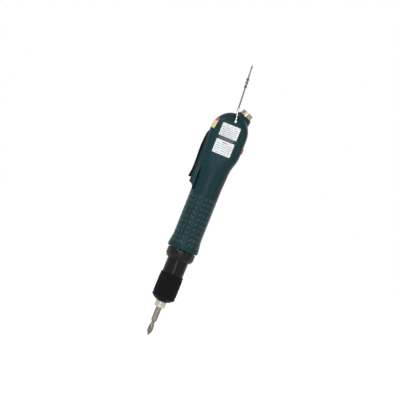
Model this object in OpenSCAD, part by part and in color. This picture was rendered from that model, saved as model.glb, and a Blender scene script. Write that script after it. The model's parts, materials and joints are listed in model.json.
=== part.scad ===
// Lever-start electric torque screwdriver, in millimetres.
// Z runs up the spindle axis. Zero is the shoulder where the nose meets the lock ring.
// The lever faces -X, the connector leans towards +X and the labelled side faces -Y.

/* [Housing] */
// Radius of the round grip
grip_r = 18; // [17.5:0.25:19]
// How far the lower end of the grip flares beyond the grip radius
flare_out = 1.9; // [1:0.1:2.2]
// Reach of the head in front of the spindle axis
head_front = 25; // [24:0.25:26]
// Reach of the head behind the spindle axis
head_back = 23.2; // [22:0.2:25]
// Half of the head's width
head_half = 19.5; // [19:0.25:21]
// Level at which the domed top of the head begins
dome_z = 169; // [168:0.5:171]
// Height of the dome
dome_h = 27.5; // [26:0.5:29]
// Thickness of the moulded wall
wall = 2.2; // [1.8:0.1:2.4]

/* [Nose and sleeve] */
// Radius of the nose barrel, where a torque arm's clamp closes
nose_r = 13.55; // [13.3:0.05:13.8]
// Length of nose that shows between the lock ring and the sleeve
nose_len = 19.5; // [18:0.5:21]
// Thickness of the torque sleeve round the nose
sleeve_wall = 1.13; // [1.1:0.1:1.7]
// Distance across the flats of the twelve-sided lock ring
lock_ring_af = 36; // [35.5:0.5:38]
// Travel of the torque sleeve from its lowest to its highest setting
sleeve_travel = 6; // [4:0.5:6]

/* [Connector and bail] */
// Outer radius of the connector's metal shell
connector_r = 7.7; // [7.5:0.1:8]
// Height of the connector shell above its boss
connector_h = 6; // [5:0.5:7]
// Lean of the connector boss from the spindle axis, in degrees
boss_tilt = 20.5; // [18:0.5:23]
// Radius of the bail wire
bail_wire_r = 1; // [0.8:0.1:1.1]
// Mean radius of the hanging eye
eye_r = 7.2; // [6.5:0.1:8]

/* [Gearbox] */
// Tooth module of both planetary stages
gear_module = 0.5; // [0.48:0.01:0.5]
// Teeth on each sun gear
sun_teeth = 12; // [12:12:12]
// Teeth on each planet gear
planet_teeth = 18; // [18:18:18]

/* [Hidden] */
$fn = 64;

// Small gaps: a seat that touches and a running fit
seat = 0.02;
run = 0.05;

// Levels along the spindle axis
housing_z = 13;
grip_top = 100;
head_low = 160;
sleeve_r = nose_r + 0.12 + sleeve_wall;
sleeve_top = -nose_len;
sleeve_foot = sleeve_top - 36;
nose_foot = sleeve_top - 2;
sleeve_step = sleeve_top - 11.5;
tube_foot = sleeve_top - 26.5;
foot_chamfer = 1.4;
sleeve_floor = tube_foot - sleeve_travel - 0.3;
collar_top = sleeve_foot - 0.5;
collar_foot = collar_top - 8;

// Colours
green = [0.08, 0.2, 0.22];
black = [0.1, 0.1, 0.1];
steel = [0.6, 0.6, 0.58];
nickel = [0.75, 0.74, 0.7];
brass = [0.8, 0.65, 0.3];

// ---------- shared helpers ----------

function ramp(z, low, high) = min(1, max(0, (z - low) / (high - low)));
function blend(z, low, high) = (1 - cos(180 * ramp(z, low, high))) / 2;
function unit(v) = v / norm(v);
function signed_power(c, p) = sign(c) * pow(abs(c), p);

// Round ring or tube between two levels
module ring(r_out, r_in, z_low, z_high) {
  translate([0, 0, z_low])
    difference() {
      cylinder(r = r_out, h = z_high - z_low);
      translate([0, 0, -1])
        cylinder(r = r_in, h = z_high - z_low + 2);
    }
}

// Rod between two levels
module rod(r, z_low, z_high) {
  translate([0, 0, z_low])
    cylinder(r = r, h = z_high - z_low);
}

// Box from its lowest and highest corners
module block(low, high) {
  translate(low)
    cube(high - low);
}

// Rod along Y between two distances from the middle plane
module cross_rod(x, z, r, y_low, y_high) {
  translate([x, y_high, z])
    rotate([90, 0, 0])
      cylinder(r = r, h = y_high - y_low);
}

// Flat plate with rounded corners, standing in the XZ plane
module rounded_plate(low, high, y_low, y_high, corner) {
  difference() {
    block([low[0], y_low, low[1]], [high[0], y_high, high[1]]);
    for (sx = [0, 1], sz = [0, 1])
      translate([sx ? high[0] - corner : low[0] + corner, 0, sz ? high[1] - corner : low[1] + corner])
        difference() {
          block([sx ? 0 : -corner - 1, y_low - 1, sz ? 0 : -corner - 1],
                [sx ? corner + 1 : 0, y_high + 1, sz ? corner + 1 : 0]);
          cross_rod(0, 0, corner, y_low - 2, y_high + 2);
        }
  }
}

// Tube of round wire along a path of points
module wire(path, r, sides) {
  count = len(path);
  along = [for (i = [0 : count - 1]) unit(path[min(i + 1, count - 1)] - path[max(i - 1, 0)])];
  seed = abs(along[0][0]) > 0.8 ? [0, 1, 0] : [1, 0, 0];
  normals = [for (i = 0, n = unit(seed - along[0] * (seed * along[0])); i < count;
    i = i + 1, n = i < count ? unit(n - along[i] * (n * along[i])) : n) n];
  points = [for (i = [0 : count - 1], s = [0 : sides - 1])
    path[i] + r * (cos(360 * s / sides) * normals[i] + sin(360 * s / sides) * cross(along[i], normals[i]))];
  skin = [for (i = [0 : count - 2], s = [0 : sides - 1])
    let (a = i * sides + s, b = i * sides + (s + 1) % sides)
    each [[a, a + sides, b + sides], [a, b + sides, b]]];
  ends = [[for (s = [0 : sides - 1]) s], [for (s = [sides - 1 : -1 : 0]) (count - 1) * sides + s]];
  polyhedron(points, concat(skin, ends), convexity = 10);
}

// Coil spring between two levels, with its end turns closed
module coil(mean_r, wire_r, z_low, z_high, turns, steps) {
  low = z_low + wire_r + seat;
  high = z_high - wire_r - seat;
  wire([for (i = [0 : turns * steps])
    let (t = i / (turns * steps), a = 360 * i / steps)
    [mean_r * cos(a), mean_r * sin(a), low + (high - low) * (0.7 * blend(t, 0, 1) + 0.3 * t)]], wire_r, 6);
}

// ---------- housing loft ----------

arc_steps = 24;
grip_lean = 0.5;
back_swell = 0.9;
bottom_round = 1.8;
flare_len = 18;
head_square = 4;

function flare(z) = flare_out * (1 - blend(z, housing_z + bottom_round, housing_z + bottom_round + flare_len));
function lean(z) = grip_lean * ramp(z, 30, 95);
function front_reach(z) = grip_r + flare(z) + lean(z)
  + (head_front - grip_r - grip_lean) * blend(z, grip_top, head_low);
function back_reach(z) = grip_r + flare(z) - lean(z) + back_swell * ramp(z, grip_top, 122)
  + (head_back - grip_r + grip_lean - back_swell) * blend(z, 122, 147);
function half_width(z) = grip_r + flare(z) + (head_half - grip_r) * blend(z, grip_top, 150);
function squareness(z) = 2 + (head_square - 2) * blend(z, 105, 150);

// Stations: [level, inset at the rounded foot, angle up the dome]
stations = concat(
  [for (t = [0 : 30 : 90]) [housing_z + bottom_round * (1 - cos(t)), bottom_round * (1 - sin(t)), 0]],
  [for (i = [1 : 6]) [housing_z + bottom_round + flare_len * i / 6, 0, 0]],
  [for (z = [62, 95]) [z, 0, 0]],
  [for (i = [0 : 9]) [grip_top + 6 * i, 0, 0]],
  [[head_low, 0, 0], [dome_z, 0, 0]],
  [for (a = [11, 22, 33, 43, 53, 62, 70, 77, 83]) [dome_z, 0, a]]);

// One side of a cross section, from the front seam to the back seam, on the -Y side
function half_section(station, inset) =
  let (z = station[0],
       cut = inset + station[1],
       lift = (dome_h - inset) * sin(station[2]),
       front = (front_reach(z) - cut) * cos(station[2]),
       back = (back_reach(z) - cut) * cos(station[2]),
       width = (half_width(z) - cut) * pow(1 - pow(sin(station[2]), 4), 0.25),
       middle = (back - front) / 2,
       reach = (back + front) / 2,
       power = 2 / squareness(z))
  [for (j = [0 : arc_steps])
    let (a = 180 * j / arc_steps)
    [middle - reach * signed_power(cos(a), power), -width * pow(max(0, sin(a)), power), z + lift]];

// Distance from the middle plane to the outside of a shell
function shell_y(x, z) =
  let (rise = max(0, z - dome_z) / dome_h,
       shrink = sqrt(1 - rise * rise),
       middle = shrink * (back_reach(z) - front_reach(z)) / 2,
       reach = shrink * (back_reach(z) + front_reach(z)) / 2,
       n = squareness(z))
  half_width(z) * pow(1 - pow(rise, 4), 0.25) * pow(1 - pow(abs(x - middle) / reach, n), 1 / n);

// Hollow half of the housing as one closed skin
module half_loft() {
  row = arc_steps + 1;
  top = len(stations) - 1;
  inside = len(stations) * row;
  outer = [for (s = stations) each half_section(s, 0)];
  inner = [for (s = stations) each half_section(s, wall)];
  walls = [for (k = [0 : top - 1], j = [0 : arc_steps - 1])
    let (a = k * row + j, b = a + 1, d = a + row, c = d + 1)
    each [[a, d, c], [a, c, b], [inside + a, inside + c, inside + d], [inside + a, inside + b, inside + c]]];
  foot = [for (j = [0 : arc_steps - 1]) [j, j + 1, inside + j + 1, inside + j]];
  crown = [[for (j = [arc_steps : -1 : 0]) top * row + j], [for (j = [0 : arc_steps]) inside + top * row + j]];
  seams = [for (k = [0 : top - 1])
    let (a = k * row, b = a + arc_steps)
    each [[a + row, a, inside + a, inside + a + row], [b, b + row, inside + b + row, inside + b]]];
  bridge = [[top * row + arc_steps, top * row, inside + top * row, inside + top * row + arc_steps]];
  polyhedron(concat(outer, inner), concat(walls, foot, crown, seams, bridge), convexity = 10);
}

// ---------- lever channel, boss and housing shells ----------

fairing_half = 10.2;
fairing_x = -24.5;
channel_half = 7.8;
channel_x = -20;
channel_low = 101.3;
channel_high = 165.5;
fairing_low = 97.8;
pivot_x = -22.2;
pivot_z = 160.5;
pin_r = 1.25;
bail_x = 1.7;
bail_z = 185.9;
bail_leg_y = 20.5;
bail_pin_r = 1.15;
button_z = 155;
button_r = 4.1;
boss_x = 10.4;
boss_z = 197.1;
boss_r = 9.6;
boss_foot_r = 11.2;
neck_r = 7;
panel_y = 18.85;
neck_out = 15.9;
neck_in = 14.3;
flange_z = 3.6;
motor_r = 14;
motor_low = 36;
motor_high = 92;
switch_post_x = -12;
switch_posts = [115.5, 128.5];
board_y = 8;
switch_half = 4.15;
root_depth = 0.9;
screw_seat = 6;
screw_spots = [[-9.5, 106], [10.5, 140], [-14, 181.5]];

// Moulded post from inside a shell's wall to a distance from the middle plane, on the -Y side
module post(x, z, r, y_end) {
  root = shell_y(x + sign(x) * r, z) - root_depth;
  cross_rod(x, z, r, -root, -y_end);
}

// Boss for the connector: a tilted spigot with a rounded rim
module at_boss() {
  translate([boss_x, 0, boss_z])
    rotate([0, boss_tilt, 0])
      children();
}

module boss_solid() {
  rim = 2;
  at_boss()
    rotate_extrude()
      difference() {
        polygon([[0, -16], [boss_foot_r, -16], [boss_foot_r, -6.5], [boss_r, 0], [0, 0]]);
        translate([boss_r - rim * 0.8, -rim])
          difference() {
            square([rim * 2, rim * 2]);
            circle(r = rim);
          }
      }
}

// Raised surround of the lever, one half, with a hollow fillet at its foot
module fairing() {
  edge = 3;
  fillet = 7;
  intersection() {
    rotate([90, 0, 0])
      linear_extrude(fairing_half)
        difference() {
          polygon([[-17.4, fairing_low - 9], [fairing_x, fairing_low - 9], [fairing_x, channel_high + 2.5],
            [channel_x + 2, channel_high + 2.5], [channel_x + 2, grip_top + 3], [-17.4, grip_top + 3]]);
          translate([-18.4 - fillet, fairing_low - 1.5 - fillet])
            circle(r = fillet);
          translate([-40, fairing_low - 30])
            square([40 - 18.4 - fillet, 28.5]);
        }
    translate([0, 0, fairing_low - 12])
      linear_extrude(90)
        union() {
          translate([fairing_x + edge, -fairing_half])
            square([12, fairing_half]);
          translate([fairing_x, -fairing_half + edge])
            square([14, fairing_half - edge]);
          translate([fairing_x + edge, -fairing_half + edge])
            circle(r = edge);
        }
  }
}

// Everything of one shell but its screws, built on the -Y side
module shell_body() {
  difference() {
    union() {
      half_loft();
      fairing();
      intersection() {
        union() {
          boss_solid();
          ring(neck_out, neck_in, flange_z, housing_z + 1);
          ring(17.6, neck_in, housing_z, housing_z + 2.4);
          ring(16.4, motor_r + seat, motor_low + 8, motor_low + 11);
          ring(16.2, motor_r + seat, motor_high - 11, motor_high - 8);
        }
        block([-30, -25, 0], [40, 0, 230]);
      }
      cross_rod(bail_x, bail_z, 3.4, -17.5, -14.2);
      for (z = switch_posts) {
        post(switch_post_x, z, 2.6, switch_half + seat);
        cross_rod(switch_post_x, z, 1.1, -switch_half - 1, -0.1);
      }
    }
    block([-40, -channel_half, channel_low], [channel_x, 1, channel_high]);
    cross_rod(pivot_x, pivot_z, pin_r + 0.01, -9.4, 1);
    translate([channel_x - 1, 0, 122])
      rotate([0, 90, 0])
        cylinder(r = 1.3, h = 5);
    at_boss()
      rod(neck_r + run, -30, 1);
    at_boss()
      rod(9.4, -30, -2.6);
    cross_rod(bail_x, bail_z, bail_pin_r + run, -30, -10);
    rounded_plate([-13.4, 140], [12.6, 181.6], -30, -panel_y, 2);
    translate([head_back + 20.5, 0, button_z])
      sphere(r = 21.5, $fn = 96);
    translate([0, 0, button_z])
      rotate([0, 90, 0])
        cylinder(r = button_r + 0.15, h = 30);
  }
}

module housing_left() {
  color(green)
    difference() {
      union() {
        shell_body();
        for (s = screw_spots)
          post(s[0], s[1], 3, 0);
      }
      for (s = screw_spots)
        cross_rod(s[0], s[1], 1.2, -9, 1);
    }
}

module housing_right() {
  color(green)
    mirror([0, 1, 0])
      difference() {
        union() {
          shell_body();
          for (s = screw_spots)
            post(s[0], s[1], 3.4, 0);
          for (p = board_posts)
            post(p[0], p[1], 2.4, board_y + 1.6 + seat);
        }
        for (s = screw_spots) {
          cross_rod(s[0], s[1], 1.6, -30, 1);
          cross_rod(s[0], s[1], 2.7, -30, -screw_seat);
        }
      }
}

module housing_screws() {
  color(black)
    for (s = screw_spots) {
      cross_rod(s[0], s[1], 1.19, -8, screw_seat + 0.5);
      difference() {
        cross_rod(s[0], s[1], 2.5, screw_seat + seat, screw_seat + 2.2);
        block([s[0] - 1.5, screw_seat + 1.2, s[1] - 0.3], [s[0] + 1.5, screw_seat + 3, s[1] + 0.3]);
        block([s[0] - 0.3, screw_seat + 1.2, s[1] - 1.5], [s[0] + 0.3, screw_seat + 3, s[1] + 1.5]);
      }
    }
}

// Twelve-sided ring that screws on to the neck of the two shells
module lock_ring() {
  web = 1.5;
  bore = neck_out + run;
  across = lock_ring_af / 2 / cos(15);
  color(black)
    difference() {
      intersection() {
        rotate([0, 0, 15])
          cylinder(r = across, h = housing_z - 0.6, $fn = 12);
        rotate_extrude()
          polygon([[0, 0], [across - 2.6, 0], [across - 0.4, 4.4], [across - 0.4, 10.8],
            [across - 1, housing_z - 0.6], [0, housing_z - 0.6]]);
      }
      rod(bore, web, housing_z + 1);
      rod(nose_r + run, -1, web + 1);
    }
}

// ---------- front case and its bearings ----------

tube_r = 11.5;
tube_in = 10.4;
case_r = 14.2;
gear_bore = 13.4;
case_high = 33;
upper_bearing_z = 0.9;
bearing_w = 5;
lower_bearing_z = tube_foot + 1.6;
lug_w = 3.6;

module front_case() {
  color(black)
    difference() {
      union() {
        rod(nose_r, nose_foot, 1.6);
        rod(neck_out - 0.15, 1.6, flange_z - seat);
        rod(case_r, 1.6, case_high);
        rod(tube_r, tube_foot + foot_chamfer, nose_foot + 1);
        translate([0, 0, tube_foot])
          cylinder(r1 = tube_r - foot_chamfer, r2 = tube_r, h = foot_chamfer);
      }
      rod(gear_bore, upper_bearing_z + bearing_w + 0.2, case_high + 1);
      rod(8 + 0.01, upper_bearing_z, 20);
      rod(6.8, -1, 20);
      rod(tube_in, -36.5, 0);
      rod(6.6, tube_foot - 1, 0);
      rod(9.5 + 0.01, tube_foot - 1, lower_bearing_z + bearing_w + seat);
      for (a = [0, 120, 240])
        rotate([0, 0, a])
          block([0, -lug_w / 2 - 0.2, sleeve_step - 0.5],
                [tube_r + 0.6, lug_w / 2 + 0.2, sleeve_step + sleeve_travel + 2.6]);
    }
}

// Grooved race, seen as half a bearing, with room for its row of balls
module race(r_out, r_in, z, ball_ring) {
  ball_r = 1.1;
  difference() {
    ring(r_out, r_in, z, z + bearing_w);
    translate([0, 0, z + bearing_w / 2])
      rotate_extrude()
        translate([ball_ring, 0])
          circle(r = ball_r + run);
  }
}

upper_ball_ring = 6;
lower_ball_ring = 7.3;

module upper_bearing_outer() { color(steel) race(8, 6.6, upper_bearing_z, upper_ball_ring); }
module upper_bearing_inner() { color(steel) race(5.4, 4.01, upper_bearing_z, upper_ball_ring); }
module lower_bearing_outer() { color(steel) race(9.5, 7.9, lower_bearing_z, lower_ball_ring); }
module lower_bearing_inner() { color(steel) race(6.7, 5.01, lower_bearing_z, lower_ball_ring); }

module bearing_balls() {
  color(nickel) {
    for (a = [0 : 36 : 324])
      rotate([0, 0, a])
        translate([upper_ball_ring, 0, upper_bearing_z + bearing_w / 2])
          sphere(r = 1.1, $fn = 32);
    for (a = [0 : 30 : 330])
      rotate([0, 0, a])
        translate([lower_ball_ring, 0, lower_bearing_z + bearing_w / 2])
          sphere(r = 1.1, $fn = 32);
  }
}

// ---------- planetary gearbox ----------

pressure = 25;
addendum = 0.8 * gear_module;
dedendum = 1.1 * gear_module;
flank_gap = 0.03;
ring_teeth = sun_teeth + 2 * planet_teeth;
orbit_r = gear_module * (sun_teeth + planet_teeth) / 2;
planet_pin_r = 1.2;
stage_low = 8;
stage_face = 8;
stage_high = 21;

function involute(base, r) = r <= base ? 0 : let (c = acos(base / r)) tan(c) * 180 / PI - c;

// Gear outline with a tooth centred on the X axis; gap is the metal taken off each flank
module gear_outline(teeth, tip, root, gap) {
  pitch = gear_module * teeth / 2;
  base = pitch * cos(pressure);
  low = max(root, base);
  radii = [root, low + 0.001, low + (tip - low) / 3, low + (tip - low) * 2 / 3, tip];
  half = 90 / teeth - gap / pitch * 180 / PI + involute(base, pitch);
  polygon([for (t = [0 : teeth - 1]) let (a = 360 * t / teeth)
    each concat(
      [for (r = radii) let (w = a - half + involute(base, r)) [r * cos(w), r * sin(w)]],
      [for (i = [4 : -1 : 0]) let (r = radii[i], w = a + half - involute(base, r)) [r * cos(w), r * sin(w)]])]);
}

module spur(teeth, z_low, z_high, bore) {
  pitch = gear_module * teeth / 2;
  difference() {
    translate([0, 0, z_low])
      linear_extrude(z_high - z_low)
        gear_outline(teeth, pitch + addendum, pitch - dedendum, flank_gap);
    rod(bore, z_low - 1, z_high + 1);
  }
}

module planet(index, z_low, z_high) {
  color(brass)
    rotate([0, 0, 120 * index])
      translate([orbit_r, 0, 0])
        rotate([0, 0, 180 / planet_teeth])
          spur(planet_teeth, z_low, z_high, planet_pin_r + 0.03);
}

module planet_1a() { planet(0, stage_high, stage_high + stage_face - 1); }
module planet_1b() { planet(1, stage_high, stage_high + stage_face - 1); }
module planet_1c() { planet(2, stage_high, stage_high + stage_face - 1); }
module planet_2a() { planet(0, stage_low, stage_low + stage_face); }
module planet_2b() { planet(1, stage_low, stage_low + stage_face); }
module planet_2c() { planet(2, stage_low, stage_low + stage_face); }

module ring_gear() {
  pitch = gear_module * ring_teeth / 2;
  low = upper_bearing_z + bearing_w + 0.2 + seat;
  color(steel)
    translate([0, 0, low])
      linear_extrude(case_high - 2 - low)
        difference() {
          circle(r = gear_bore - seat);
          rotate([0, 0, 180 / ring_teeth])
            gear_outline(ring_teeth, pitch + dedendum, pitch - addendum, -flank_gap);
        }
}

module planet_pins(z_low, z_high) {
  for (a = [0, 120, 240])
    rotate([0, 0, a])
      translate([orbit_r, 0, 0])
        rod(planet_pin_r, z_low, z_high);
}

// Output carrier: a hub through the upper bearing, a plate and three pressed pins
module output_carrier() {
  color(steel)
    difference() {
      union() {
        rod(10.6, stage_low - 1.6, stage_low - 0.3);
        rod(4.8, upper_bearing_z + bearing_w + seat, stage_low - 1);
        rod(4, -0.6, stage_low - 1);
        rod(3, -4.2, 0);
        planet_pins(stage_low - 1, stage_low + stage_face);
      }
      rod(2.02, -5, 3.5);
    }
}

// First carrier: plate, three pins above it and the second stage's sun below it
module first_carrier() {
  color(steel)
    union() {
      rod(10.6, stage_high - 1.7, stage_high - 0.3);
      planet_pins(stage_high - 1, stage_high + stage_face - 1);
      spur(sun_teeth, stage_low, stage_high - 1.5, 0.6);
    }
}

// ---------- clutch ----------

clutch_ball_r = 1.6;
clutch_ball_ring = 7.2;
clutch_ball_z = -4.6;
plate_low = -8.6;
plate_high = -5;
hex_af = 7;

module clutch_ball_set(r) {
  for (a = [0 : 60 : 300])
    rotate([0, 0, a])
      translate([clutch_ball_ring, 0, clutch_ball_z])
        sphere(r = r, $fn = 48);
}

module clutch_cam() {
  color(steel)
    difference() {
      ring(9.6, 3 + 0.01, -4.2, -0.9);
      clutch_ball_set(clutch_ball_r + seat);
    }
}

module clutch_balls() { color(nickel) clutch_ball_set(clutch_ball_r); }

module clutch_plate() {
  color(steel)
    difference() {
      rod(9.6, plate_low, plate_high);
      translate([0, 0, plate_low - 1])
        cylinder(r = (hex_af / 2 + run) / cos(30), h = 6, $fn = 6);
      clutch_ball_set(clutch_ball_r + 0.1);
    }
}

seat_ring_w = 2.4;

// Ring under the clutch spring, with three lugs that reach the sleeve through the case's slots
module spring_seat() {
  color(steel)
    difference() {
      union() {
        rod(tube_in - 0.2, sleeve_step + seat, sleeve_step + seat_ring_w);
        for (a = [0, 120, 240])
          rotate([0, 0, a])
            block([7, -lug_w / 2, sleeve_step + seat], [nose_r - 0.3, lug_w / 2, sleeve_step + seat_ring_w - 0.2]);
      }
      rod(5.4, sleeve_step - 1, sleeve_step + 4);
    }
}

module clutch_spring() {
  color(nickel)
    coil(8.2, 0.7, sleeve_step + seat_ring_w, plate_low, 6, 18);
}

// ---------- torque sleeve ----------

module torque_sleeve() {
  color(black)
    difference() {
      rotate_extrude()
        polygon([[5.7, sleeve_foot], [7.4, sleeve_foot], [sleeve_r - 4.9, sleeve_foot + 1.2],
          [sleeve_r - 2.7, sleeve_foot + 2.7], [sleeve_r - 1.1, sleeve_foot + 4], [sleeve_r, sleeve_foot + 5.2], [sleeve_r, sleeve_top - 0.5],
          [sleeve_r - 0.4, sleeve_top], [nose_r + 0.12, sleeve_top], [nose_r + 0.12, sleeve_step],
          [tube_r + 0.1, sleeve_step], [tube_r + 0.1, sleeve_floor + foot_chamfer],
          [tube_r + 0.1 - foot_chamfer, sleeve_floor], [5.7, sleeve_floor]]);
      for (z = [sleeve_foot + 8.5, sleeve_top - 3])
        translate([0, 0, z])
          rotate_extrude()
            translate([sleeve_r + 0.1, 0])
              circle(r = 0.45, $fn = 24);
    }
}

// ---------- spindle, bit and collar ----------

hex_r = 6.35 / 2 / cos(30);
bit_top = collar_foot + 14.5;
spindle_foot = collar_foot + 0.7;
detent_z = collar_foot + 5.6;
bit_tip = collar_foot - 37.5;

module spindle() {
  color(steel)
    difference() {
      union() {
        rod(5, spindle_foot, -24);
        rod(5.8, lower_bearing_z + bearing_w + seat, lower_bearing_z + bearing_w + 1);
        translate([0, 0, -24.5])
          cylinder(r = hex_af / 2 / cos(30), h = 24.5 + plate_high - 0.2, $fn = 6);
        rod(1.98, -8, 2.5);
      }
      translate([0, 0, spindle_foot - 1])
        cylinder(r = hex_r + 0.06, h = bit_top - spindle_foot + 1.1, $fn = 6);
      for (a = [0, 180])
        rotate([0, 0, a])
          translate([0, 0, detent_z])
            rotate([0, 90, 0])
              cylinder(r = 1.27, h = 8, $fn = 32);
      for (z = [spindle_foot + 0.8, detent_z + 1, lower_bearing_z - 0.9])
        ring(8, 4.7, z, z + 0.6);
    }
}

// Snap rings: under the collar spring, above the collar's land and under the lower bearing
module spindle_rings() {
  color(black)
    for (z = [spindle_foot + 0.8, detent_z + 1, lower_bearing_z - 0.9])
      difference() {
        ring(z > detent_z + 2 ? 6.4 : 5.95, 4.72, z + 0.02, z + 0.58);
        block([0, -0.8, z - 1], [9, 0.8, z + 2]);
      }
}

module detent_balls() {
  color(nickel)
    for (a = [0, 180])
      rotate([0, 0, a])
        translate([3.83, 0, detent_z])
          sphere(r = 1.25, $fn = 32);
}

// Power bit: hexagon shank with a ball groove, waisted neck, bulb and crossed point
module bit() {
  color([0.42, 0.41, 0.38])
    difference() {
      union() {
        intersection() {
          translate([0, 0, bit_tip + 18.5])
            cylinder(r = hex_r, h = bit_top - bit_tip - 18.5, $fn = 6);
          rotate_extrude()
            polygon([[0, bit_tip + 18], [2.3, bit_tip + 18], [2.3, bit_tip + 18.5], [4, bit_tip + 20.3],
              [4, bit_top - 1], [3, bit_top], [0, bit_top]]);
        }
        rotate_extrude()
          polygon([[0, bit_tip], [0.5, bit_tip], [2.3, bit_tip + 3.6], [3.3, bit_tip + 5.4],
            [3.45, bit_tip + 7], [3.45, bit_tip + 11], [3, bit_tip + 13.4], [2.25, bit_tip + 16],
            [2.25, bit_tip + 18.6], [0, bit_tip + 18.6]]);
      }
      translate([0, 0, detent_z])
        rotate_extrude()
          translate([4.1, 0])
            circle(r = 1.55);
      for (a = [0 : 90 : 270])
        rotate([0, 0, a + 45])
          translate([0.55, 0, bit_tip - 0.6])
            rotate([0, 24, 0])
              rotate([0, 0, -45])
                cube([6, 6, 9]);
    }
}

module bit_collar() {
  color(nickel)
    difference() {
      rotate_extrude()
        polygon([[0, collar_foot], [6.1, collar_foot], [7, collar_foot + 1.1], [7, collar_foot + 4.6],
          [6.7, collar_foot + 4.9], [6.7, collar_foot + 5.5], [7, collar_foot + 5.8],
          [7, collar_top - 0.5], [6.5, collar_top], [0, collar_top]]);
      rod(5.12, collar_foot - 1, collar_top + 1);
      rod(6.2, collar_foot - 1, detent_z - 0.95);
      rod(6.2, detent_z + 0.98, collar_top + 1);
    }
}

module collar_spring() {
  color(nickel)
    coil(5.6, 0.25, spindle_foot + 1.4, detent_z - 0.95, 3, 16);
}

// ---------- motor ----------

shaft_r = 1.5;

module motor_can() {
  color(steel)
    difference() {
      rod(motor_r, motor_low, motor_high);
      rod(motor_r - 1.2, motor_low + 1.4, motor_high + 1);
      rod(4.5 + 0.01, motor_low - 1, motor_low + 2);
      for (a = [90, 210, 330])
        rotate([0, 0, a])
          translate([10, 0, 0])
            rod(1, motor_low - 1, motor_low + 2);
    }
}

module motor_magnets() {
  color([0.25, 0.25, 0.27])
    difference() {
      ring(motor_r - 1.2 - seat, 10.4, motor_low + 8, motor_high - 12);
      for (a = [0, 180])
        rotate([0, 0, a])
          block([-2.5, 0, motor_low], [2.5, 20, motor_high]);
    }
}

module motor_bushes() {
  color(brass) {
    ring(4.5, shaft_r + 0.03, motor_low, motor_low + 3.4);
    ring(4.5, shaft_r + 0.03, motor_high - 1.5, motor_high + 2.5);
  }
}

// Plate that ties the motor to the gearbox, clamped by three small screws
module motor_plate() {
  color(steel)
    union() {
      difference() {
        ring(13.3, 4.2, case_high - 2 + seat, motor_low - seat);
        for (a = [90, 210, 330])
          rotate([0, 0, a])
            translate([10, 0, 0])
              rod(1.02, case_high - 3, motor_low + 1);
      }
      for (a = [90, 210, 330])
        rotate([0, 0, a])
          translate([10, 0, 0])
            rod(0.96, case_high - 2 + seat, motor_low + 3);
    }
}

module motor_shaft() {
  color(steel)
    union() {
      rod(shaft_r, stage_high + 1, motor_high + 3);
      spur(sun_teeth, stage_high, stage_high + 9, 0.6);
      rod(2.3, stage_high + 8.5, stage_high + 10);
    }
}

// Wound rotor: slotted core with coil heads at both ends
module armature() {
  core_r = 9.9;
  slots = 7;
  low = motor_low + 14;
  high = motor_high - 16;
  color([0.5, 0.32, 0.18])
    difference() {
      union() {
        difference() {
          rod(core_r, low, high);
          for (i = [0 : slots - 1])
            rotate([0, 0, 360 * i / slots])
              block([6, -0.8, low - 1], [12, 0.8, high + 1]);
        }
        rod(7.6, low - 5, high + 5);
      }
      rod(shaft_r + 0.005, low - 6, high + 6);
    }
}

module commutator() {
  low = motor_high - 10.5;
  color([0.72, 0.45, 0.25])
    difference() {
      ring(3.6, shaft_r + 0.005, low, low + 7);
      for (i = [0 : 6])
        rotate([0, 0, 360 * i / 7])
          block([3.1, -0.15, low + 1], [5, 0.15, low + 8]);
    }
}

// Plastic cap that closes the can and guides the brushes
module motor_end_cap() {
  color(black)
    difference() {
      union() {
        rod(motor_r - 1.2 - seat, motor_high - 2, motor_high);
        rod(motor_r, motor_high + seat, motor_high + 3.5);
        rod(7.4, motor_high, motor_high + 5);
        for (s = [-1, 1])
          block([s * 7.6 - 3.4, -2.6, motor_high - 10.5], [s * 7.6 + 3.4, 2.6, motor_high - 1]);
      }
      rod(4.5 + 0.01, motor_high - 3, motor_high + 2.5 + seat);
      rod(2, motor_high, motor_high + 6);
      block([-12, -1.52, motor_high - 9.52], [12, 1.52, motor_high - 4.48]);
    }
}

module carbon_brushes() {
  color([0.2, 0.2, 0.2])
    for (s = [0, 180])
      rotate([0, 0, s])
        difference() {
          block([3.3, -1.5, motor_high - 9.5], [10.5, 1.5, motor_high - 4.5]);
          rod(3.6 + run, motor_high - 12, motor_high - 3);
        }
}

// ---------- switches and board ----------

switch_x = -16;
switch_z = 122;
board_low = [-13, 144];
board_high = [12, 176];
board_posts = [[-10, 148], [9, 172]];

module lever_switch() {
  color([0.15, 0.15, 0.2])
    difference() {
      block([switch_x, -switch_half, 112.5], [switch_x + 10, switch_half, 132.5]);
      for (z = switch_posts)
        cross_rod(switch_post_x, z, 1.15, -6, 6);
      translate([switch_x - 1, 0, switch_z])
        rotate([0, 90, 0])
          cylinder(r = 1.1, h = 7);
    }
}

module switch_plunger() {
  color([0.7, 0.2, 0.15])
    translate([-21.35, 0, switch_z])
      rotate([0, 90, 0])
        cylinder(r = 1.02, h = 7);
}

module direction_switch() {
  color([0.15, 0.15, 0.2])
    difference() {
      block([6.5, -5, button_z - 7], [14, board_y - seat, button_z + 7]);
      translate([10.4, 0, button_z])
        rotate([0, 90, 0])
          cylinder(r = 1.6, h = 5);
    }
}

module circuit_board() {
  color([0.1, 0.35, 0.2])
    difference() {
      block([board_low[0], board_y, board_low[1]], [board_high[0], board_y + 1.6, board_high[1]]);
      for (p = board_posts)
        cross_rod(p[0], p[1], 1.1, board_y - 1, board_y + 3);
      cross_rod(screw_spots[1][0], screw_spots[1][1], 4, board_y - 1, board_y + 3);
    }
}

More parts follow.
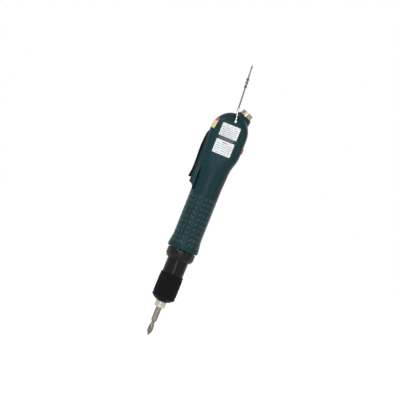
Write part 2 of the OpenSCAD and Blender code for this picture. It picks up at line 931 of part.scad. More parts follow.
// Relay, capacitor, driver chips, terminal block and the board's own screws
module board_parts() {
  face = board_y - seat;
  color([0.2, 0.2, 0.22]) {
    block([-8, face - 9, 152], [3, face, 165]);
    block([-11, face - 2, 167], [-5, face, 173]);
    block([-2, face - 1.6, 168], [4, face, 174]);
    for (x = [-9, -4.5])
      translate([x, face - 4, 145.5])
        cylinder(r = 2, h = 5.5);
    for (p = board_posts) {
      cross_rod(p[0], p[1], 1.08, face + 0.1, board_y + 1.5);
      cross_rod(p[0], p[1], 2, face - 1.4, face);
    }
  }
}

// ---------- connector ----------

module connector_shell() {
  color(nickel)
    at_boss()
      difference() {
        union() {
          rotate_extrude()
            polygon([[0, seat], [9, seat], [9, 0.6], [8.7, 0.9], [connector_r, 0.9],
              [connector_r, connector_h - 0.5], [connector_r - 0.5, connector_h], [0, connector_h]]);
          rod(neck_r, -8.5, 0.5);
        }
        rod(6.2, -10, connector_h + 1);
        translate([0, 0, connector_h - 1.6])
          block([-0.9, 5, 0], [0.9, 9, 3]);
      }
}

contact_ring = 3.6;

module connector_insert() {
  color(black)
    at_boss()
      difference() {
        rod(6.2 - seat, -7, connector_h - 0.8);
        for (a = [30 : 60 : 330])
          rotate([0, 0, a])
            translate([contact_ring, 0, 0])
              rod(0.95, -8, connector_h);
      }
}

module connector_contacts() {
  color(brass)
    at_boss()
      for (a = [30 : 60 : 330])
        rotate([0, 0, a])
          translate([contact_ring, 0, 0])
            difference() {
              rod(0.93, -10, connector_h - 1.2);
              rod(0.5, -2, connector_h);
            }
}

module connector_nut() {
  color(steel)
    at_boss()
      difference() {
        translate([0, 0, -5.2])
          cylinder(r = 8 / cos(30), h = 2.6 - seat, $fn = 6);
        rod(neck_r + 0.01, -6, 0);
      }
}

// ---------- labels and sticker ----------

label_t = 0.25;
label_left = -12.2;
label_right = 11.4;

module side_label(low, high, left, right, corner) {
  rounded_plate([left, low], [right, high], -panel_y - label_t, -panel_y - seat / 4, corner);
}

module label_upper() { color([0.88, 0.9, 0.9]) side_label(163.7, 180.2, label_left, label_right, 1.2); }
module label_lower() { color([0.88, 0.9, 0.9]) side_label(141.2, 158.9, label_left, label_right, 1.2); }
module label_strip() { color([0.2, 0.22, 0.24]) side_label(159.9, 163, -10, 8.7, 0.8); }

// Thin sticker that follows the front of the head
module front_sticker() {
  turn = 7;
  rows = [for (a = [0 : 5 : 30]) [dome_z, 0, a]];
  band = 2 * turn + 1;
  skin = function(station, lift)
    let (half = half_section(station, -lift))
    concat([for (j = [turn : -1 : 1]) [half[j][0], -half[j][1], half[j][2]]], [for (j = [0 : turn]) half[j]]);
  count = len(rows);
  inner = [for (s = rows) each skin(s, 0.03)];
  outer = [for (s = rows) each skin(s, 0.23)];
  shift = count * band;
  sheet = [for (k = [0 : count - 2], j = [0 : band - 2])
    let (a = k * band + j, b = a + 1, d = a + band, c = d + 1)
    each [[a, c, d], [a, b, c], [shift + a, shift + d, shift + c], [shift + a, shift + c, shift + b]]];
  foot = [for (j = [0 : band - 2]) [shift + j, shift + j + 1, j + 1, j]];
  last = (count - 1) * band;
  head = [for (j = [0 : band - 2]) [last + j, last + j + 1, shift + last + j + 1, shift + last + j]];
  sides = [for (k = [0 : count - 2])
    let (a = k * band, b = a + band - 1)
    each [[a, a + band, shift + a + band, shift + a], [b + band, b, shift + b, shift + b + band]]];
  color([0.82, 0.76, 0.5])
    polyhedron(concat(inner, outer), concat(sheet, foot, head, sides), convexity = 6);
}

// ---------- lever ----------

lever_half = 7.4;
spring_z = 109.5;

module lever() {
  color(black)
    difference() {
      intersection() {
        rotate([90, 0, 0])
          translate([0, 0, -lever_half])
            linear_extrude(2 * lever_half)
              polygon([[-23.6, 102.2], [-27.6, 101.9], [-28.1, 103.2], [-27.6, 106], [-27, 111], [-26.8, 117],
                [-27.1, 126], [-27.7, 136], [-27.9, 143], [-27.6, 151], [-26.9, 159], [-25.9, 163.6],
                [-24.6, 165], [-22.2, 164.6], [-20.4, 162], [-20.3, 158.5], [-22.4, 120]]);
        translate([0, 0, 100])
          linear_extrude(70)
            union() {
              translate([-28.2, -lever_half + 2.4])
                square([12, 2 * lever_half - 4.8]);
              translate([-25.8, -lever_half])
                square([10, 2 * lever_half]);
              for (s = [-1, 1])
                translate([-25.8, s * (lever_half - 2.4)])
                  circle(r = 2.4);
            }
      }
      difference() {
        block([-25.4, -5.8, 106], [-15, 5.8, 155.5]);
        block([-26, -1.6, switch_z - 3], [-21.4, 1.6, switch_z + 3]);
        block([-26, -6, 138], [-23, 6, 139.6]);
      }
      cross_rod(pivot_x, pivot_z, pin_r + run, -10, 10);
    }
}

module lever_pin() {
  color(steel)
    cross_rod(pivot_x, pivot_z, pin_r, -9.38, 9.38);
}

module lever_spring() {
  color(nickel)
    translate([-25.4, 0, spring_z])
      rotate([0, 90, 0])
        coil(2.2, 0.25, 0, 25.4 + channel_x, 4, 14);
}

// ---------- reverse button ----------

button_out = 24.3;
button_flange = head_back - wall - 0.15;

module reverse_button() {
  color([0.8, 0.15, 0.2])
    translate([0, 0, button_z])
      rotate([0, 90, 0])
        rotate_extrude()
          polygon([[0, 12.5], [1.4, 12.5], [1.4, button_flange - 1.3], [5.2, button_flange - 1.3],
            [5.2, button_flange], [button_r, button_flange], [button_r, button_out - 0.6],
            [button_r - 0.8, button_out - 0.1], [0, button_out - 0.1]]);
}

module button_spring() {
  color(nickel)
    translate([14, 0, button_z])
      rotate([0, 90, 0])
        coil(2.4, 0.25, 0, button_flange - 1.3 - 14, 5, 14);
}

// ---------- hanging bail ----------

bail_low = 17;
bail_meet = 44;
twist_top = 57.6;
strand_r = bail_wire_r + 0.05;
eye_h = twist_top + eye_r * 1.2;
eye_open = 40;

// Forward lean of the bail at a height above its pivots
function bail_shift(h) = bail_x - min(h, bail_low) * tan(9.5) - max(0, h - bail_low) * tan(4.1);
function bail_point(h, y, dx) = [bail_shift(h) + dx, y, bail_z + h];

function bail_side(s) = concat(
  [bail_point(0, s * bail_leg_y, 0), bail_point(bail_low - 4, s * bail_leg_y, 0)],
  [for (i = [0 : 12]) bail_point(bail_low + (bail_meet - bail_low) * i / 12,
    s * (strand_r + (bail_leg_y - strand_r) * (1 - blend(i / 12, 0, 1))), 0)],
  [for (i = [1 : 18]) bail_point(bail_meet + (twist_top - bail_meet) * i / 18,
    s * strand_r * cos(30 * i), s * strand_r * sin(30 * i))]);
function reversed(list) = [for (i = [len(list) - 1 : -1 : 0]) list[i]];

bail_path = concat(
  bail_side(-1),
  [for (a = [eye_open : 20 : 360 - eye_open]) bail_point(eye_h - eye_r * cos(a), eye_r * sin(a), 0)],
  reversed(bail_side(1)));

module bail() {
  color(steel)
    union() {
      wire(bail_path, bail_wire_r, 10);
      for (s = [0, 1])
        mirror([0, s, 0])
          cross_rod(bail_x, bail_z, bail_pin_r, -bail_leg_y - 1.1, -14.4);
    }
}

housing_left();
housing_right();
lock_ring();
front_case();
ring_gear();
motor_can();
motor_magnets();
motor_end_cap();
carbon_brushes();
motor_bushes();
motor_plate();
upper_bearing_outer();
lower_bearing_outer();
bearing_balls();
circuit_board();
board_parts();
lever_switch();
switch_plunger();
direction_switch();
connector_shell();
connector_insert();
connector_contacts();
connector_nut();
label_upper();
label_lower();
label_strip();
front_sticker();
housing_screws();
lever_pin();
lever();
lever_spring();
reverse_button();
button_spring();
bail();
torque_sleeve();
spring_seat();
clutch_spring();
spindle();
detent_balls();
spindle_rings();
lower_bearing_inner();
bit();
clutch_plate();
clutch_cam();
clutch_balls();
upper_bearing_inner();
output_carrier();
first_carrier();
planet_1a();
planet_1b();
planet_1c();
planet_2a();
planet_2b();
planet_2c();
armature();
commutator();
motor_shaft();
bit_collar();
collar_spring();
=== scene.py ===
"""Electric torque screwdriver: finishes, surface detail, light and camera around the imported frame."""

import json
import math

import bpy
from mathutils import Matrix, Vector
from mathutils.bvhtree import BVHTree


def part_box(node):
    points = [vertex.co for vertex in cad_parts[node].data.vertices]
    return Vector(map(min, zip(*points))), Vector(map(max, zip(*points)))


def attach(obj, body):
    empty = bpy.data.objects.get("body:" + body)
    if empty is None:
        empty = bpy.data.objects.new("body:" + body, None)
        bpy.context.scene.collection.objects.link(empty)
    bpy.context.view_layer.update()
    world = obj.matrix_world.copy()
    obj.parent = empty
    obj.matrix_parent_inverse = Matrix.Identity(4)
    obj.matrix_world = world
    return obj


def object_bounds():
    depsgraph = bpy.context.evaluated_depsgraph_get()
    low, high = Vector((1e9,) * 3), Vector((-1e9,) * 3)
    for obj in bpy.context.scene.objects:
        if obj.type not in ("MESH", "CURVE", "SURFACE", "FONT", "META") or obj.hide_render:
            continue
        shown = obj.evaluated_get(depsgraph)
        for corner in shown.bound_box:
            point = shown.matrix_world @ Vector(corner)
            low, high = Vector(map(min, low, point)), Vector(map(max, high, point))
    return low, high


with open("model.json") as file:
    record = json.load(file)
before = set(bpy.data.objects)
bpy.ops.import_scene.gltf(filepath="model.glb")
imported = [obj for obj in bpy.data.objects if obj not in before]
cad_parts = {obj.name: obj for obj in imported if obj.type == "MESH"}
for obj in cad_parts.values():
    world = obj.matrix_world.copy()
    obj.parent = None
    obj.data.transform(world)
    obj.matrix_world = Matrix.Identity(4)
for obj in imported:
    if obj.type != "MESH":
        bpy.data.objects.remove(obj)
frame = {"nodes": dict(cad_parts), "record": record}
cad_low, cad_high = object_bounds()
nodes = frame["nodes"]
MM = 0.001

# ---------- colours and materials ----------


def linear(red, green, blue):
    """Linear colour of an 8-bit display colour."""
    values = []
    for c in (red, green, blue):
        c /= 255
        values.append(c / 12.92 if c <= 0.04045 else ((c + 0.055) / 1.055) ** 2.4)
    return (*values, 1.0)


def shade(colour, factor):
    return (*[c * factor for c in colour[:3]], 1.0)


COAT_ROUGHNESS = 0.1
CALM, BUSY = 0.3, 0.7  # most of a noise's values lie between these


class Finish:
    """A procedural material whose textures are in metres, in the object's own frame."""

    def __init__(self, name, colour, roughness, metallic=0.0, specular=0.5, coat=0.0):
        self.material = bpy.data.materials.new(name)
        self.material.use_nodes = True
        self.tree = self.material.node_tree
        self.shader = self.tree.nodes["Principled BSDF"]
        self.shader.inputs["Base Color"].default_value = colour
        self.shader.inputs["Roughness"].default_value = roughness
        self.shader.inputs["Metallic"].default_value = metallic
        self.shader.inputs["Specular IOR Level"].default_value = specular
        self.shader.inputs["Coat Weight"].default_value = coat
        self.shader.inputs["Coat Roughness"].default_value = COAT_ROUGHNESS
        self.colour = colour
        self.roughness = roughness
        self.coords = self.tree.nodes.new("ShaderNodeTexCoord")

    def noise(self, size, detail=2.0, stretch=(1, 1, 1)):
        """Noise with features of a size in metres, stretched along the axes."""
        mapping = self.tree.nodes.new("ShaderNodeMapping")
        mapping.inputs["Scale"].default_value = [1 / (size * s) for s in stretch]
        texture = self.tree.nodes.new("ShaderNodeTexNoise")
        texture.inputs["Scale"].default_value = 1.0
        texture.inputs["Detail"].default_value = detail
        self.tree.links.new(self.coords.outputs["Object"], mapping.inputs["Vector"])
        self.tree.links.new(mapping.outputs["Vector"], texture.inputs["Vector"])
        return texture.outputs["Fac"]

    def mottle(self, source, low, high):
        """Colour that varies between two shades of the base colour."""
        ramp = self.tree.nodes.new("ShaderNodeValToRGB")
        ramp.color_ramp.elements[0].position = CALM
        ramp.color_ramp.elements[1].position = BUSY
        ramp.color_ramp.elements[0].color = shade(self.colour, low)
        ramp.color_ramp.elements[1].color = shade(self.colour, high)
        self.tree.links.new(source, ramp.inputs["Fac"])
        self.tree.links.new(ramp.outputs["Color"], self.shader.inputs["Base Color"])
        return self

    def vary_gloss(self, source, spread):
        scale = self.tree.nodes.new("ShaderNodeMapRange")
        scale.inputs["From Min"].default_value = CALM
        scale.inputs["From Max"].default_value = BUSY
        scale.inputs["To Min"].default_value = max(0.02, self.roughness - spread)
        scale.inputs["To Max"].default_value = min(1.0, self.roughness + spread)
        self.tree.links.new(source, scale.inputs["Value"])
        self.tree.links.new(scale.outputs["Result"], self.shader.inputs["Roughness"])
        return self

    def bump(self, source, depth, strength=0.6):
        node = self.tree.nodes.new("ShaderNodeBump")
        node.inputs["Strength"].default_value = strength
        node.inputs["Distance"].default_value = depth
        self.tree.links.new(source, node.inputs["Height"])
        self.tree.links.new(node.outputs["Normal"], self.shader.inputs["Normal"])
        return self


def plastic(name, colour, roughness, grain, depth, specular=0.4, coat=0.0):
    """Moulded plastic: pebbled grain, faint colour drift and handled patches of gloss."""
    f = Finish(name, colour, roughness, specular=specular, coat=coat)
    f.mottle(f.noise(14 * MM, 3), 0.90, 1.10)
    f.vary_gloss(f.noise(5 * MM, 4), 0.06)
    f.bump(f.noise(grain, 2), depth)
    return f.material


def turned(name, colour, roughness, line=0.12 * MM, depth=0.006 * MM):
    """Metal turned about the spindle axis: rings of fine tool marks."""
    f = Finish(name, colour, roughness, metallic=1.0)
    f.mottle(f.noise(6 * MM, 3), 0.92, 1.06)
    f.vary_gloss(f.noise(2 * MM, 3), 0.05)
    f.bump(f.noise(line, 2, (60, 60, 1)), depth, 0.4)
    return f.material


def drawn(name, colour, roughness):
    """Drawn wire or ground tool steel: streaks along the spindle axis."""
    f = Finish(name, colour, roughness, metallic=1.0)
    f.mottle(f.noise(1.5 * MM, 3, (1, 1, 12)), 0.85, 1.08)
    f.vary_gloss(f.noise(0.8 * MM, 3, (1, 1, 14)), 0.08)
    f.bump(f.noise(0.15 * MM, 2, (1, 1, 30)), 0.001 * MM, 0.2)
    return f.material


TEAL = linear(9, 46, 51)
BLACK = linear(9, 9, 10)
YELLOW = linear(220, 205, 140)
RED_END = 0.72  # the share of the sticker's height at which its red end begins


def sticker_finish():
    """Plain yellow film with a red end."""
    f = Finish("sticker", YELLOW, 0.35, specular=0.4)
    split = f.tree.nodes.new("ShaderNodeSeparateXYZ")
    ramp = f.tree.nodes.new("ShaderNodeValToRGB")
    scale = f.tree.nodes.new("ShaderNodeMapRange")
    low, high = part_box("front_sticker")
    scale.inputs["From Min"].default_value = low.z
    scale.inputs["From Max"].default_value = high.z
    ramp.color_ramp.interpolation = "CONSTANT"
    ramp.color_ramp.elements[0].color = YELLOW
    ramp.color_ramp.elements[1].position = RED_END
    ramp.color_ramp.elements[1].color = linear(180, 78, 76)
    f.tree.links.new(f.coords.outputs["Object"], split.inputs["Vector"])
    f.tree.links.new(split.outputs["Z"], scale.inputs["Value"])
    f.tree.links.new(scale.outputs["Result"], ramp.inputs["Fac"])
    f.tree.links.new(ramp.outputs["Color"], f.shader.inputs["Base Color"])
    f.vary_gloss(f.noise(3 * MM, 3), 0.05)
    f.bump(f.noise(0.6 * MM, 3), 0.01 * MM, 0.3)
    return f.material


def winding_finish():
    """Enamelled copper wire wound round laminations."""
    f = Finish("copper", linear(170, 96, 58), 0.35, metallic=0.9)
    f.mottle(f.noise(2 * MM, 3, (1, 1, 6)), 0.6, 1.15)
    f.bump(f.noise(0.3 * MM, 1, (1, 1, 40)), 0.05 * MM, 0.8)
    return f.material


FINISHES = {
    "green_shell": plastic("green_shell", TEAL, 0.40, 0.35 * MM, 0.012 * MM, 0.14),
    "black_gloss": plastic("black_gloss", BLACK, 0.22, 0.5 * MM, 0.003 * MM, 0.20),
    "black_matte": plastic("black_matte", linear(9, 9, 9), 0.55, 0.3 * MM, 0.02 * MM, 0.08),
    "black_metal": plastic("black_metal", linear(10, 10, 10), 0.24, 0.6 * MM, 0.003 * MM, 0.16),
    "steel": turned("steel", linear(178, 176, 170), 0.30),
    "bit_steel": drawn("bit_steel", linear(112, 106, 98), 0.36),
    "spring_steel": drawn("spring_steel", linear(128, 124, 116), 0.28),
    "nickel": turned("nickel", linear(184, 180, 160), 0.22, 0.2 * MM, 0.004 * MM),
    "brass": turned("brass", linear(206, 168, 98), 0.28),
    "copper": winding_finish(),
    "magnet": plastic("magnet", linear(58, 58, 62), 0.6, 0.2 * MM, 0.02 * MM, 0.3),
    "carbon": plastic("carbon", linear(38, 38, 40), 0.7, 0.15 * MM, 0.03 * MM, 0.3),
    "board": plastic("board", linear(28, 92, 56), 0.4, 0.8 * MM, 0.01 * MM, 0.4),
    "parts": plastic("parts", linear(40, 40, 44), 0.4, 0.3 * MM, 0.01 * MM, 0.4),
    "switch": plastic("switch", linear(30, 30, 36), 0.35, 0.4 * MM, 0.01 * MM, 0.4),
    "red": plastic("red", linear(205, 40, 66), 0.30, 0.6 * MM, 0.004 * MM, 0.3, 0.1),
    "label": plastic("label", linear(222, 227, 230), 0.42, 0.5 * MM, 0.006 * MM, 0.3),
    "strip": plastic("strip", linear(44, 52, 56), 0.35, 0.5 * MM, 0.005 * MM, 0.35),
    "sticker": sticker_finish(),
}
DULL_NICKEL = turned("dull_nickel", linear(146, 138, 120), 0.30, 0.25 * MM, 0.006 * MM)
DULL_NODES = {"connector_shell"}
slot_of = {row["node"]: row["material_slot"] for row in frame["record"]["subparts"]}

# ---------- smooth shading that keeps the sharp edges ----------


def smoothing_group(angle):
    group = bpy.data.node_groups.new("smooth_by_angle", "GeometryNodeTree")
    group.interface.new_socket("Geometry", in_out="INPUT", socket_type="NodeSocketGeometry")
    group.interface.new_socket("Geometry", in_out="OUTPUT", socket_type="NodeSocketGeometry")
    new, link = group.nodes.new, group.links.new
    start, end = new("NodeGroupInput"), new("NodeGroupOutput")
    weld = new("GeometryNodeMergeByDistance")
    weld.inputs["Distance"].default_value = 0.002 * MM
    faces = new("GeometryNodeSetShadeSmooth")
    edges = new("GeometryNodeSetShadeSmooth")
    edges.domain = "EDGE"
    edges.inputs["Shade Smooth"].default_value = False
    between = new("GeometryNodeInputMeshEdgeAngle")
    sharper = new("FunctionNodeCompare")
    sharper.operation = "GREATER_THAN"
    sharper.inputs[1].default_value = angle
    link(start.outputs[0], weld.inputs[0])
    link(weld.outputs[0], faces.inputs[0])
    link(faces.outputs[0], edges.inputs[0])
    link(between.outputs["Unsigned Angle"], sharper.inputs[0])
    link(sharper.outputs[0], edges.inputs["Selection"])
    link(edges.outputs[0], end.inputs[0])
    return group


SMOOTH = smoothing_group(math.radians(28))


def smooth(piece):
    piece.modifiers.new("smooth", "NODES").node_group = SMOOTH
    weighted = piece.modifiers.new("weighted", "WEIGHTED_NORMAL")
    weighted.keep_sharp = True


for name, piece in nodes.items():
    finish = DULL_NICKEL if name in DULL_NODES else FINISHES[slot_of[name]]
    if piece.data.materials:
        for i in range(len(piece.data.materials)):
            piece.data.materials[i] = finish
    else:
        piece.data.materials.append(finish)
    if "custom_normal" in piece.data.attributes:
        piece.data.attributes.remove(piece.data.attributes["custom_normal"])
    smooth(piece)

# ---------- surface detail laid on the CAD skins ----------

graph = bpy.context.evaluated_depsgraph_get()


def skin_of(*names):
    return [BVHTree.FromObject(nodes[n], graph) for n in names]


def cast(trees, start, direction):
    """First point of the skins along a ray, or None."""
    best = None
    for tree in trees:
        point, _, _, distance = tree.ray_cast(start, direction)
        if point is not None and (best is None or distance < best[0]):
            best = (distance, point)
    return best and best[1]


def radial(angle):
    """Direction away from the spindle axis. Zero faces -Y and a quarter turn faces +X."""
    return Vector((math.sin(angle), -math.cos(angle), 0))


def on_skin(trees, angle, z, lift):
    out = radial(angle)
    point = cast(trees, Vector((0, 0, z)) + out * 60 * MM, -out)
    return point + out * lift


def piece_from(name, vertices, faces, body, slot_name):
    mesh = bpy.data.meshes.new(name)
    mesh.from_pydata([tuple(v) for v in vertices], [], faces)
    mesh.validate()
    mesh.update()
    piece = bpy.data.objects.new(name, mesh)
    bpy.context.collection.objects.link(piece)
    mesh.materials.append(FINISHES[slot_name])
    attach(piece, body)
    return piece


SHELLS = skin_of("housing_left", "housing_right")


def grip_pads():
    """Raised rounded pads in rows up the grip, slanted either side of a smooth line on each face."""
    pitch, rows, first = 6.7 * MM, 10, 22.2 * MM
    columns = {15: 1.0, 32: 0.85, 49: 0.6, 66: 0.3}  # degrees from the smooth line, and relief
    half_wide, half_high, slope = math.radians(6.6), 2.3 * MM, 1.3 * MM
    rings = [(1.0, -0.10), (0.97, 0.30), (0.91, 0.50), (0.80, 0.60), (0.45, 0.63)]  # share, lift in mm
    points_round = 20
    vertices, faces = [], []
    for row in range(rows):
        for face_turn in (0, math.pi):
            for side in (-1, 1):
                for column, relief in columns.items():
                    centre = face_turn + side * math.radians(column)
                    level = first + row * pitch
                    base = len(vertices)
                    for share, lift in rings:
                        for k in range(points_round):
                            t = 2 * math.pi * k / points_round
                            u = math.copysign(abs(math.cos(t)) ** 0.5, math.cos(t)) * share
                            v = math.copysign(abs(math.sin(t)) ** 0.5, math.sin(t)) * share
                            angle = centre + u * half_wide
                            z = level + v * half_high + side * u * slope
                            height = lift * relief if lift > 0 else lift
                            vertices.append(on_skin(SHELLS, angle, z, height * MM))
                    vertices.append(on_skin(SHELLS, centre, level, rings[-1][1] * relief * MM))
                    last = len(rings) - 1
                    for r in range(last):
                        for k in range(points_round):
                            n = (k + 1) % points_round
                            a, b = base + r * points_round, base + (r + 1) * points_round
                            faces.append((a + k, a + n, b + n, b + k))
                    top = base + last * points_round
                    for k in range(points_round):
                        faces.append((top + k, top + (k + 1) % points_round, top + points_round))
                    faces.append(tuple(base + k for k in range(points_round - 1, -1, -1)))
    piece = piece_from("grip_pads", vertices, faces, "body", "green_shell")
    piece.data.materials[0] = plastic("pad_rubbed", linear(10, 48, 53), 0.26, 0.35 * MM, 0.006 * MM, 0.30)
    smooth(piece)


grip_pads()


def knurl_bands():
    """Fine diamond knurl on each plain band of the torque sleeve."""
    trees = skin_of("torque_sleeve")
    low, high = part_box("torque_sleeve")
    step = 0.1 * MM
    count = int((high.z - low.z) / step)
    levels = [low.z + (i + 0.5) * step for i in range(count)]
    reach = [on_skin(trees, 0.01, z, 0).length_squared - z * z for z in levels]
    widest = math.sqrt(max(reach))
    runs, run = [], []
    for z, r in zip(levels, reach):
        if math.sqrt(max(r, 0)) > widest - 0.06 * MM:
            run.append(z)
        elif run:
            runs.append(run)
            run = []
    runs.append(run)
    cell, depth, margin = 0.36 * MM, 0.22 * MM, 0.5 * MM
    around = 4 * round(2 * math.pi * widest / cell / 4)
    vertices, faces = [], []
    for run in runs:
        if len(run) * step < 3 * MM:
            continue
        foot, top = run[0] + margin, run[-1] - margin
        rows = max(4, 4 * round((top - foot) / cell / 4))
        base = len(vertices)
        for j in range(rows + 1):
            z = foot + (top - foot) * j / rows
            for i in range(around):
                rising, falling = abs((i + j) % 4 - 2), abs((i - j) % 4 - 2)
                height = depth * (2 - max(rising, falling)) / 2
                if j in (0, rows):
                    height = -0.15 * MM
                angle = 2 * math.pi * i / around
                vertices.append(radial(angle) * (widest + height - 0.01 * MM) + Vector((0, 0, z)))
        for j in range(rows):
            for i in range(around):
                n = (i + 1) % around
                a, b = base + j * around + i, base + j * around + n
                d, c = a + around, b + around
                faces += [(a, b, c), (a, c, d)] if (i + j) % 2 == 0 else [(a, b, d), (b, c, d)]
    piece_from("sleeve_knurl", vertices, faces, "torque_sleeve", "black_matte")


knurl_bands()


def slab(corners_low, corners_high):
    (x0, y0, z0), (x1, y1, z1) = corners_low, corners_high
    corners = [(x, y, z) for z in (z0, z1) for x, y in ((x0, y0), (x1, y0), (x1, y1), (x0, y1))]
    sides = [(0, 3, 2, 1), (4, 5, 6, 7), (0, 1, 5, 4), (1, 2, 6, 5), (2, 3, 7, 6), (3, 0, 4, 7)]
    return corners, sides


def label_rules():
    """Blank rows of dashes on the two labels: a short heavy one in the middle, then fine ones."""
    heavy = {"label_upper": (0.26, 0.36, 0.48, 0.58, 0.68, 0.76), "label_lower": (0.34, 0.66)}
    lengths = (3.1, 1.7, 4.2, 2.4, 1.3, 3.6, 2.0)
    inset, gap = 1.5 * MM, 0.75 * MM
    vertices, faces = [], []

    def dash(left, right, top, thick, y):
        corners, sides = slab((left, y - 0.03 * MM, top - thick), (right, y + 0.05 * MM, top))
        base = len(vertices)
        vertices.extend(corners)
        faces.extend(tuple(base + k for k in side) for side in sides)

    for name, marks in heavy.items():
        low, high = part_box(name)
        wide = high.x - low.x
        for k in range(0, len(marks), 2):
            left, right = low.x + marks[k] * wide, low.x + marks[k + 1] * wide
            dash(left, right, high.z - inset - 0.6 * MM, 1.1 * MM, low.y)
        rows = 5
        foot, top = low.z + inset, high.z - inset - 3.4 * MM
        for i in range(rows):
            level = top - i * (top - foot - 0.6 * MM) / (rows - 1)
            left, k = low.x + inset, 2 * i
            while left < high.x - inset - 1.0 * MM:
                right = min(left + lengths[k % len(lengths)] * MM, high.x - inset)
                dash(left, right, level, 0.6 * MM, low.y)
                left, k = right + gap, k + 1
    piece = piece_from("label_rules", vertices, faces, "body", "strip")
    piece.data.materials[0] = plastic("rule_ink", linear(128, 136, 140), 0.45, 0.5 * MM, 0.004 * MM, 0.3)


label_rules()


def nose_highlight_strip():
    """Painted highlight: a lighter grey strip down the nose's camera-facing side, standing in for a frontal
    lamp's reflection.
    """
    trees = skin_of("front_case")
    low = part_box("torque_sleeve")[1].z + 1.2 * MM
    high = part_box("lock_ring")[0].z - 1.6 * MM
    half, rows = 0.9 * MM, 24
    vertices, faces = [], []
    for j in range(rows + 1):
        z = low + (high - low) * j / rows
        centre = on_skin(trees, 0, z, 0)
        for dx, lift in ((-half, -0.05), (-half * 0.8, 0.07), (half * 0.8, 0.07), (half, -0.05)):
            vertices.append(centre + Vector((dx, -lift * MM, 0)))
    for j in range(rows):
        for k in range(3):
            a = 4 * j + k
            faces.append((a, a + 1, a + 5, a + 4))
    faces += [(3, 2, 1, 0), tuple(4 * rows + k for k in range(4))]
    piece = piece_from("nose_highlight_strip", vertices, faces, "body", "label")
    # Painted highlight: this grey, lighter than the black nose, stands in for a frontal lamp's reflection.
    piece.data.materials[0] = plastic("painted_nose_highlight", linear(44, 44, 45), 0.4, 0.4 * MM, 0.004 * MM, 0.2)


nose_highlight_strip()


def shell_seam():
    """The fine dark line where the two shells meet, down the front and the back."""
    half, proud = 0.11 * MM, 0.025 * MM
    vertices, faces = [], []
    # back below and above the button, and front below the fairing and above the lever: side and levels in mm
    spans = [(1, 16, 148.5), (1, 161.5, 187), (-1, 16, 86.5), (-1, 167.5, 168.8)]
    for side, start, end in spans:
        steps = max(2, int((end - start) / 1.2))
        base = len(vertices)
        out = Vector((side, 0, 0))
        for j in range(steps + 1):
            z = (start + (end - start) * j / steps) * MM
            point = cast(SHELLS, Vector((side * 60 * MM, 0.05 * MM, z)), -out)
            for y, lift in ((-half, -proud), (-half, proud), (half, proud), (half, -proud)):
                vertices.append(Vector((point.x, y, z)) + out * lift)
        for j in range(steps):
            for k in range(4):
                n = (k + 1) % 4
                a, b = base + 4 * j + k, base + 4 * j + n
                faces.append((a, b, b + 4, a + 4) if side < 0 else (b, a, a + 4, b + 4))
        last = base + 4 * steps
        ends = [tuple(base + k for k in range(4)), tuple(last + k for k in range(3, -1, -1))]
        faces += ends if side > 0 else [e[::-1] for e in ends]
    piece = piece_from("shell_seam", vertices, faces, "body", "black_matte")
    piece.data.materials[0] = plastic("seam_shadow", linear(8, 18, 20), 0.8, 0.4 * MM, 0.004 * MM, 0.1)


shell_seam()

# ---------- floor, light and camera ----------


def backdrop_strength(tree):
    """1 for what the camera, a reflection or a refraction sees, and 0 for light on the object."""
    path = tree.nodes.new("ShaderNodeLightPath")
    either = tree.nodes.new("ShaderNodeMath")
    either.operation = "MAXIMUM"
    seen = tree.nodes.new("ShaderNodeMath")
    seen.operation = "MAXIMUM"
    tree.links.new(path.outputs["Is Camera Ray"], either.inputs[0])
    tree.links.new(path.outputs["Is Glossy Ray"], either.inputs[1])
    tree.links.new(either.outputs[0], seen.inputs[0])
    tree.links.new(path.outputs["Is Transmission Ray"], seen.inputs[1])
    return seen.outputs[0]


FLOOR_DROP, FLOOR_HALF = 0.1, 6.0  # metres below the part, and to each side
FLOOR_GLOW, WORLD_LIGHT = 0.75, 0.45  # of full white: what the camera sees of the floor, and light on the part


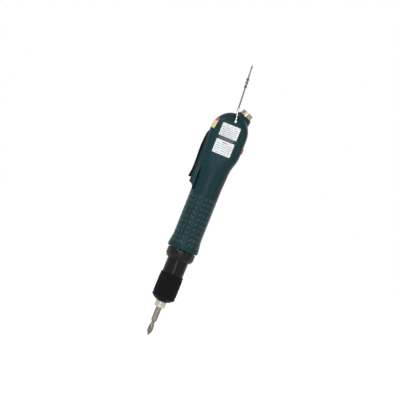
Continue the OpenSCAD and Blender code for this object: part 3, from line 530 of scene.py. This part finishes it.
def make_floor():
    level = cad_low.z - FLOOR_DROP
    corners = [(x * FLOOR_HALF, y * FLOOR_HALF, level) for x, y in ((-1, -1), (1, -1), (1, 1), (-1, 1))]
    mesh = bpy.data.meshes.new("floor")
    mesh.from_pydata(corners, [], [(0, 1, 2, 3)])
    floor = bpy.data.objects.new("floor", mesh)
    bpy.context.collection.objects.link(floor)
    material = bpy.data.materials.new("floor")
    material.use_nodes = True
    tree = material.node_tree
    shader = tree.nodes["Principled BSDF"]
    shader.inputs["Base Color"].default_value = (0.8, 0.8, 0.8, 1)
    shader.inputs["Roughness"].default_value = 0.9
    shader.inputs["Specular IOR Level"].default_value = 0.0
    shader.inputs["Emission Color"].default_value = (1, 1, 1, 1)
    scale = tree.nodes.new("ShaderNodeMath")
    scale.operation = "MULTIPLY"
    scale.inputs[1].default_value = FLOOR_GLOW
    tree.links.new(backdrop_strength(tree), scale.inputs[0])
    tree.links.new(scale.outputs[0], shader.inputs["Emission Strength"])
    mesh.materials.append(material)


make_floor()

world = bpy.data.worlds.new("studio")
bpy.context.scene.world = world
world.use_nodes = True
background = world.node_tree.nodes["Background"]
background.inputs["Color"].default_value = (1, 1, 1, 1)
mix = world.node_tree.nodes.new("ShaderNodeMapRange")
mix.inputs["To Min"].default_value = WORLD_LIGHT
mix.inputs["To Max"].default_value = 1.0
world.node_tree.links.new(backdrop_strength(world.node_tree), mix.inputs["Value"])
world.node_tree.links.new(mix.outputs["Result"], background.inputs["Strength"])


def lamp(name, place, power, size):
    """Round area lamp aimed at the middle of the part, in metres and watts."""
    data = bpy.data.lights.new(name, "AREA")
    data.energy = power
    data.shape = "DISK"
    data.size = size
    light = bpy.data.objects.new(name, data)
    bpy.context.collection.objects.link(light)
    light.location = place
    middle = Vector((0, 0, (cad_low.z + cad_high.z) / 2))
    light.rotation_euler = (middle - light.location).to_track_quat("-Z", "Y").to_euler()


lamp("key", (-0.9, -1.2, 0.9), 9, 0.5)
lamp("front", (-0.12, -1.9, 0.3), 8, 0.22)
lamp("fill", (1.3, -1.1, 0.4), 3, 0.7)
lamp("back", (0.5, 1.3, 1.1), 7, 0.8)

LENS, SENSOR, VIEW_WIDTH = 200.0, 36.0, 0.5
LEAN = math.radians(22.05)
AIM = Vector((-2.85 * MM, 0, (cad_low.z + cad_high.z) / 2))
camera_data = bpy.data.cameras.new("camera")
camera_data.type = "PERSP"
camera_data.lens = LENS
camera_data.sensor_width = SENSOR
camera_data.clip_end = 50
camera = bpy.data.objects.new("camera", camera_data)
bpy.context.collection.objects.link(camera)
right = Vector((math.cos(LEAN), 0, math.sin(LEAN)))
up = Vector((-math.sin(LEAN), 0, math.cos(LEAN)))
place = AIM - Vector((0, VIEW_WIDTH * LENS / SENSOR, 0))
camera.matrix_world = Matrix((
    (right.x, up.x, 0, place.x), (0, 0, -1, place.y), (right.z, up.z, 0, place.z), (0, 0, 0, 1)))
bpy.context.scene.camera = camera
bpy.context.scene.view_settings.view_transform = "Standard"
